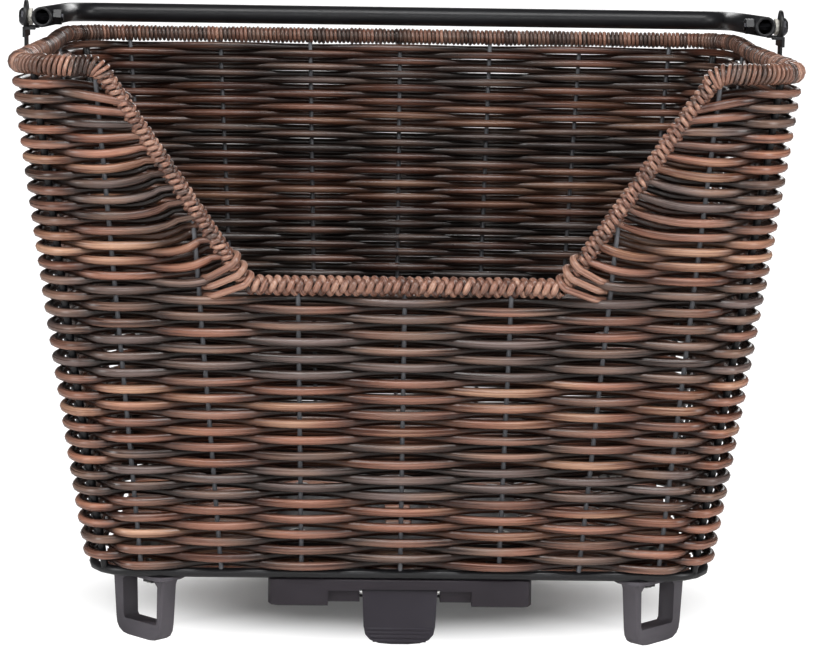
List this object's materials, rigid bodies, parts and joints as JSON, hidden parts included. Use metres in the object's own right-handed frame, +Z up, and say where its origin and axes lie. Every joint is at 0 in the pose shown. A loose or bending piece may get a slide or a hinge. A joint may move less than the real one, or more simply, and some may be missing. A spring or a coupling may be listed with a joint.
{
  "type": "bicycle basket",
  "caption": "Woven rear-carrier basket on a welded wire frame, with a notched front, loop feet, a quick-release adapter with a sprung lever, and a swinging handle.",
  "frame": {"origin": "on the ground under the middle of the basket", "axes": "+X to the basket's right, -Y towards the notched front, +Z up"},
  "size_m": [0.4136, 0.2994, 0.326],
  "materials": {
    "cane": "extruded synthetic cane, satin, streaked brown and charcoal",
    "wrap_cane": "wound synthetic cane, satin",
    "black_steel": "black powder coat, satin",
    "moulded": "moulded, finely textured",
    "zinc": "bright zinc plate",
    "nylon": "natural nylon"
  },
  "bodies": {
    "root": {"wire_frame": "black_steel", "weave_lower": "cane", "weave_upper": "cane", "weave_floor": "cane", "rim_wrap": "wrap_cane", "sill_wrap": "wrap_cane", "notch_wrap_left": "wrap_cane", "notch_wrap_right": "wrap_cane", "foot_front_left": "moulded", "foot_washer_front_left": "zinc", "foot_screw_front_left": "zinc", "foot_nut_front_left": "black_steel", "foot_front_right": "moulded", "foot_washer_front_right": "zinc", "foot_screw_front_right": "zinc", "foot_nut_front_right": "black_steel", "foot_rear_left": "moulded", "foot_washer_rear_left": "zinc", "foot_screw_rear_left": "zinc", "foot_nut_rear_left": "black_steel", "foot_rear_right": "moulded", "foot_washer_rear_right": "zinc", "foot_screw_rear_right": "zinc", "foot_nut_rear_right": "black_steel", "adapter_plate": "moulded", "claw_bar": "moulded", "counter_plate": "black_steel", "adapter_screw_front_left": "zinc", "adapter_nut_front_left": "zinc", "adapter_screw_front_right": "zinc", "adapter_nut_front_right": "zinc", "adapter_screw_rear_left": "zinc", "adapter_nut_rear_left": "zinc", "adapter_screw_rear_right": "zinc", "adapter_nut_rear_right": "zinc", "lever_pin": "zinc", "lever_spring": "zinc", "handle_bracket_left": "black_steel", "bracket_backing_left": "black_steel", "pivot_bolt_left": "zinc", "pivot_spacer_left": "nylon", "pivot_nut_left": "zinc", "bracket_screw_left_upper": "zinc", "bracket_nut_left_upper": "zinc", "bracket_screw_left_lower": "zinc", "bracket_nut_left_lower": "zinc", "handle_bracket_right": "black_steel", "bracket_backing_right": "black_steel", "pivot_bolt_right": "zinc", "pivot_spacer_right": "nylon", "pivot_nut_right": "zinc", "bracket_screw_right_upper": "zinc", "bracket_nut_right_upper": "zinc", "bracket_screw_right_lower": "zinc", "bracket_nut_right_lower": "zinc"},
    "handle": {"handle_tube": "black_steel"},
    "lever": {"release_lever": "moulded"}
  },
  "joints": [
    {"name": "handle_swing", "type": "hinge", "parent": "root", "child": "handle", "pos_m": [0, 0, 0.317], "axis": [1, 0, 0], "range_deg": [0, 179]},
    {"name": "lever_pull", "type": "hinge", "parent": "root", "child": "lever", "pos_m": [0, -0.1065, 0.0285], "axis": [-1, 0, 0], "range_deg": [0, 25], "stiffness_Nm_per_rad": 0.25, "springref_deg": -17.19, "deforming": ["lever_spring"]}
  ]
}
